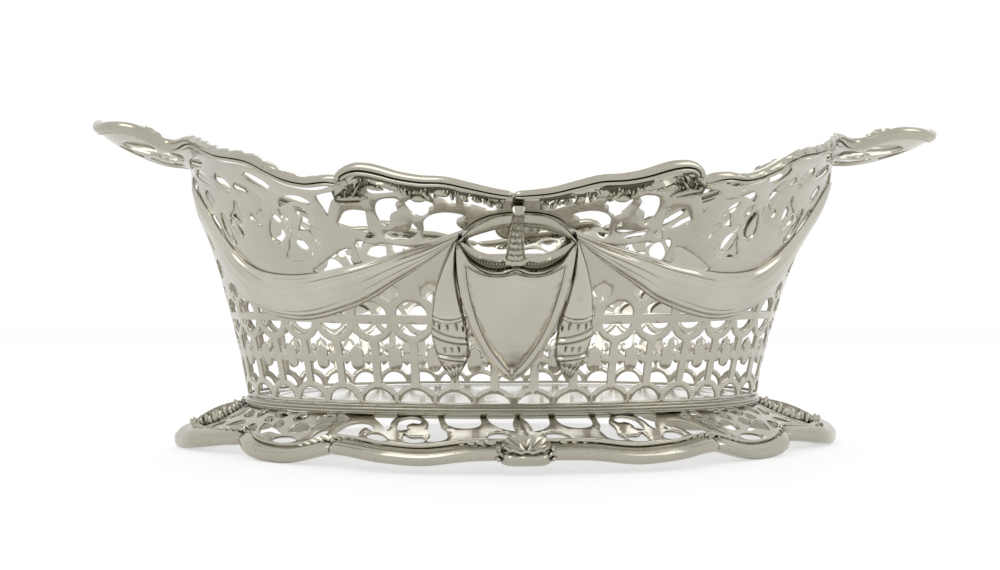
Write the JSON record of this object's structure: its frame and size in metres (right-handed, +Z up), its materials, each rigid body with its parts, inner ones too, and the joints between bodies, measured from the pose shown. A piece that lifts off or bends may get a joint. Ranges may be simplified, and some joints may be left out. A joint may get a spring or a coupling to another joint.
{
  "type": "pierced silver basket",
  "caption": "Boat-shaped table basket in pierced silver with tongue handles, applied shields, swags and husks, on a spreading pierced foot.",
  "frame": {"origin": "middle of the bounding box at the table surface", "axes": "+X along the length to the right handle, -Y to the front, +Z up"},
  "size_m": [0.2817, 0.2062, 0.1045],
  "materials": {
    "pierced_sheet": "polished silver sheet, softly worn, warm grey",
    "polished_sheet": "polished silver with fine wear and soft reflections",
    "cast_silver": "cast and chased silver with dark tarnish in the crevices",
    "mirror_plate": "flat mirror polish"
  },
  "bodies": {
    "root": {"base_moulding": "cast_silver", "floor_plate": "mirror_plate", "foot_border_back": "cast_silver", "foot_border_back_left": "cast_silver", "foot_border_back_right": "cast_silver", "foot_border_front": "cast_silver", "foot_border_front_left": "cast_silver", "foot_border_front_right": "cast_silver", "foot_border_left": "cast_silver", "foot_border_right": "cast_silver", "foot_leaf_left": "cast_silver", "foot_leaf_right": "cast_silver", "foot_shell_back": "cast_silver", "foot_shell_front": "cast_silver", "foot_skirt_back_left": "pierced_sheet", "foot_skirt_back_right": "pierced_sheet", "foot_skirt_front_left": "pierced_sheet", "foot_skirt_front_right": "pierced_sheet", "handle_knop_left_back": "cast_silver", "handle_knop_left_front": "cast_silver", "handle_knop_right_back": "cast_silver", "handle_knop_right_front": "cast_silver", "husk_back_left": "polished_sheet", "husk_back_right": "polished_sheet", "husk_front_left": "polished_sheet", "husk_front_right": "polished_sheet", "rim_border_left": "cast_silver", "rim_border_right": "cast_silver", "rim_foliage_back_left": "cast_silver", "rim_foliage_back_right": "cast_silver", "rim_foliage_front_left": "cast_silver", "rim_foliage_front_right": "cast_silver", "rim_scroll_back_left": "cast_silver", "rim_scroll_back_right": "cast_silver", "rim_scroll_front_left": "cast_silver", "rim_scroll_front_right": "cast_silver", "shield_back": "polished_sheet", "shield_finial_back": "cast_silver", "shield_finial_front": "cast_silver", "shield_front": "polished_sheet", "shield_loop_back": "cast_silver", "shield_loop_front": "cast_silver", "shield_moulding_back": "cast_silver", "shield_moulding_front": "cast_silver", "swag_back_left": "polished_sheet", "swag_back_right": "polished_sheet", "swag_front_left": "polished_sheet", "swag_front_right": "polished_sheet", "wall_back": "pierced_sheet", "wall_front": "pierced_sheet", "wall_left_end": "pierced_sheet", "wall_right_end": "pierced_sheet"}
  },
  "joints": []
}
